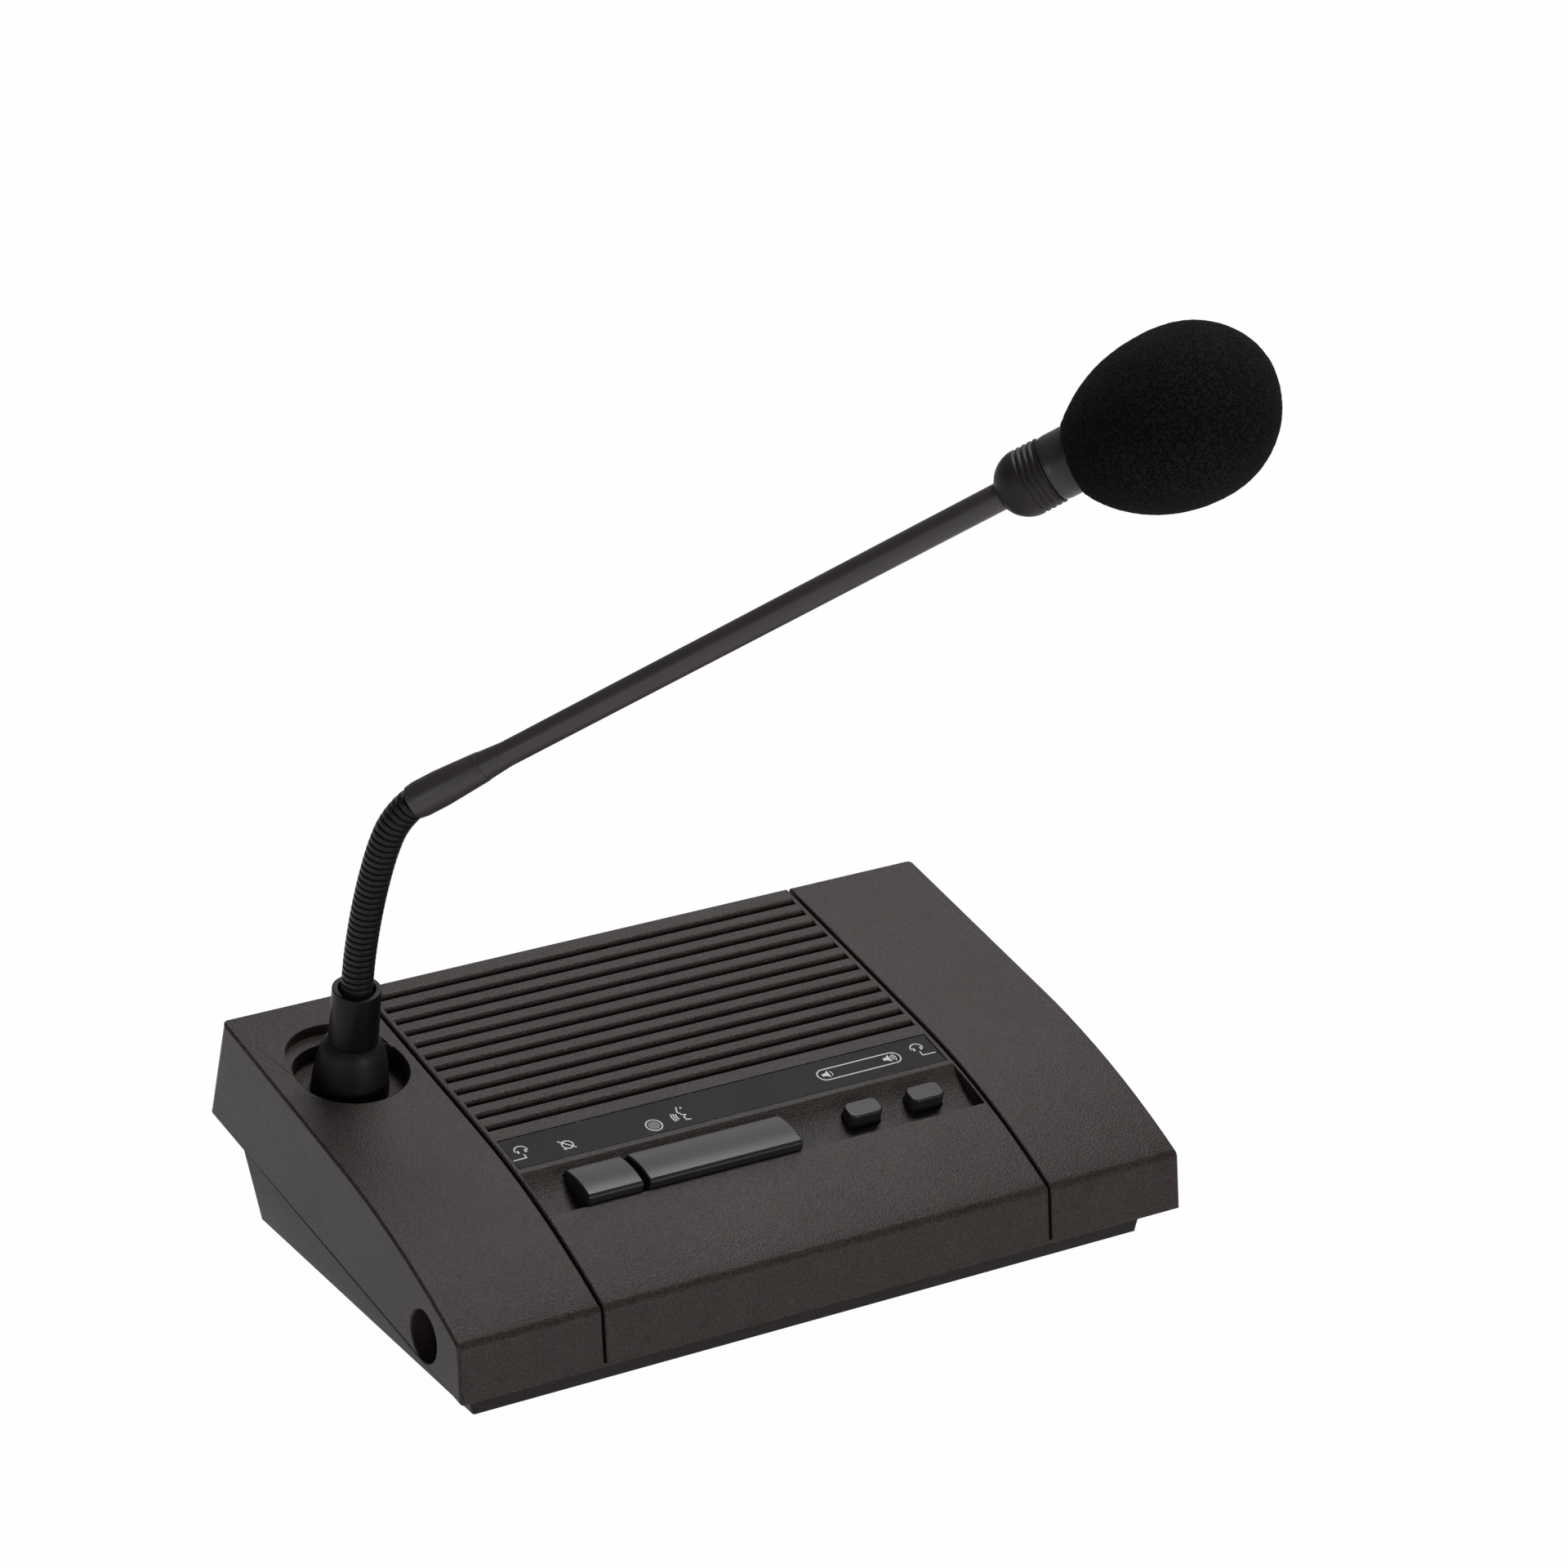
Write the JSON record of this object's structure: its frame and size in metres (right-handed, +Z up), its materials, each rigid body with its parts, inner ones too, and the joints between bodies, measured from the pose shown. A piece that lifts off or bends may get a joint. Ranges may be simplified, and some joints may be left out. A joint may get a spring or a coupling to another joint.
{
  "type": "conference microphone",
  "caption": "Wedge-shaped desktop conference microphone with a slotted loudspeaker grille, talk, mute and volume keys, headphone sockets and a bendable stem with a foam windscreen.",
  "frame": {"origin": "on the desk under the middle of the cover", "axes": "+X across the desk to the right as the talker sees it, +Y towards the back, +Z up"},
  "size_m": [0.205, 0.1879, 0.2566],
  "materials": {
    "case_plastic": "fine texture",
    "key_plastic": "satin",
    "plunger_plastic": "satin",
    "strip_film": "satin film",
    "lens": "satin",
    "lamp": "clear",
    "cloth": "woven",
    "board": "solder mask",
    "chips": "moulded",
    "screw_steel": "bright",
    "rubber": "satin",
    "gasket": "matte",
    "speaker_steel": "matte",
    "cone": "matte",
    "magnet": "plain",
    "jack": "moulded",
    "nickel": "nickel plated",
    "black_metal": "satin black",
    "stem": "satin black",
    "head_plastic": "satin black",
    "capsule": "plain",
    "foam": "open foam",
    "lead": "sheath"
  },
  "bodies": {
    "base": {"bottom_tub": "case_plastic", "top_cover": "case_plastic", "centre_panel": "case_plastic", "grille_cloth": "cloth", "label_strip": "strip_film", "status_lens": "lens", "status_led": "lamp", "main_board": "board", "board_components": "chips", "board_screws": "screw_steel", "switch_housings": "chips", "panel_screws": "screw_steel", "case_screws": "screw_steel", "rubber_feet": "rubber", "speaker_gasket": "gasket", "speaker_basket": "speaker_steel", "speaker_cone": "cone", "speaker_magnet": "magnet", "speaker_screws": "screw_steel", "left_jack": "jack", "right_jack": "jack", "left_jack_nut": "nickel", "right_jack_nut": "nickel", "link_socket_in": "jack", "link_socket_out": "jack", "neck_bush": "nickel", "neck_washer": "screw_steel", "neck_nut": "nickel", "bell_boot": "rubber", "neck_collar": "black_metal", "neck_base": "black_metal", "mic_lead": "lead", "speaker_lead": "lead"},
    "talk_key": {"talk_button": "key_plastic", "talk_plunger": "plunger_plastic"},
    "mute_key": {"mute_button": "key_plastic", "mute_plunger": "plunger_plastic"},
    "volume_down_key": {"volume_down_button": "key_plastic", "volume_down_plunger": "plunger_plastic"},
    "volume_up_key": {"volume_up_button": "key_plastic", "volume_up_plunger": "plunger_plastic"},
    "neck_1": {"neck_link_1": "black_metal"},
    "neck_2": {"neck_link_2": "black_metal"},
    "neck_3": {"neck_link_3": "black_metal"},
    "neck_4": {"neck_link_4": "black_metal"},
    "neck_5": {"neck_link_5": "black_metal"},
    "neck_6": {"neck_link_6": "black_metal"},
    "neck_7": {"neck_link_7": "black_metal"},
    "head": {"coupling_sleeve": "head_plastic", "stem_tube": "stem", "bellows_boot": "rubber", "capsule_housing": "head_plastic", "capsule": "capsule", "capsule_guard": "capsule"},
    "windscreen": {"foam_windscreen": "foam"}
  },
  "joints": [
    {"name": "talk_press", "type": "slide", "parent": "base", "child": "talk_key", "axis": [0, 0.284, -0.9588], "range_m": [0, 0.0012], "stiffness_N_per_m": 1500, "springref_m": -0.0003},
    {"name": "mute_press", "type": "slide", "parent": "base", "child": "mute_key", "axis": [0, 0.284, -0.9588], "range_m": [0, 0.0012], "stiffness_N_per_m": 1500, "springref_m": -0.0003},
    {"name": "volume_down_press", "type": "slide", "parent": "base", "child": "volume_down_key", "axis": [0, 0.284, -0.9588], "range_m": [0, 0.0012], "stiffness_N_per_m": 1500, "springref_m": -0.0003},
    {"name": "volume_up_press", "type": "slide", "parent": "base", "child": "volume_up_key", "axis": [0, 0.284, -0.9588], "range_m": [0, 0.0012], "stiffness_N_per_m": 1500, "springref_m": -0.0003},
    {"name": "neck_lean_1", "type": "hinge", "parent": "base", "child": "neck_1", "pos_m": [-0.081, 0.02461, 0.07971], "axis": [0.515, 0.8441, 0.1488], "range_deg": [-12, 8]},
    {"name": "neck_sway_1", "type": "hinge", "parent": "neck_1", "child": "neck_2", "pos_m": [-0.08075, 0.0232, 0.08686], "axis": [0.8558, -0.4967, -0.1443], "range_deg": [-9, 9]},
    {"name": "neck_lean_2", "type": "hinge", "parent": "neck_2", "child": "neck_3", "pos_m": [-0.0803, 0.02167, 0.09399], "axis": [0.515, 0.8441, 0.1488], "range_deg": [-12, 8]},
    {"name": "neck_sway_2", "type": "hinge", "parent": "neck_3", "child": "neck_4", "pos_m": [-0.07964, 0.02002, 0.10107], "axis": [0.8507, -0.4822, -0.2092], "range_deg": [-9, 9]},
    {"name": "neck_lean_3", "type": "hinge", "parent": "neck_4", "child": "neck_5", "pos_m": [-0.07877, 0.01825, 0.1081], "axis": [0.515, 0.8441, 0.1488], "range_deg": [-12, 8]},
    {"name": "neck_sway_3", "type": "hinge", "parent": "neck_5", "child": "neck_6", "pos_m": [-0.07765, 0.01633, 0.11505], "axis": [0.8358, -0.4561, -0.3056], "range_deg": [-9, 9]},
    {"name": "neck_lean_4", "type": "hinge", "parent": "neck_6", "child": "neck_7", "pos_m": [-0.076, 0.01413, 0.12181], "axis": [0.515, 0.8441, 0.1488], "range_deg": [-12, 8]},
    {"name": "neck_sway_4", "type": "hinge", "parent": "neck_7", "child": "head", "pos_m": [-0.07268, 0.0111, 0.12757], "axis": [0.6321, -0.2568, -0.7311], "range_deg": [-9, 9]},
    {"name": "windscreen_pull", "type": "slide", "parent": "head", "child": "windscreen", "axis": [0.6846, -0.5096, 0.5212], "range_m": [0, 0.035]}
  ],
  "couplings": [
    {"joint": "neck_lean_2", "follows": "neck_lean_1", "ratio": 1},
    {"joint": "neck_sway_2", "follows": "neck_sway_1", "ratio": 1},
    {"joint": "neck_lean_3", "follows": "neck_lean_1", "ratio": 1},
    {"joint": "neck_sway_3", "follows": "neck_sway_1", "ratio": 1},
    {"joint": "neck_lean_4", "follows": "neck_lean_1", "ratio": 1},
    {"joint": "neck_sway_4", "follows": "neck_sway_1", "ratio": 1}
  ]
}
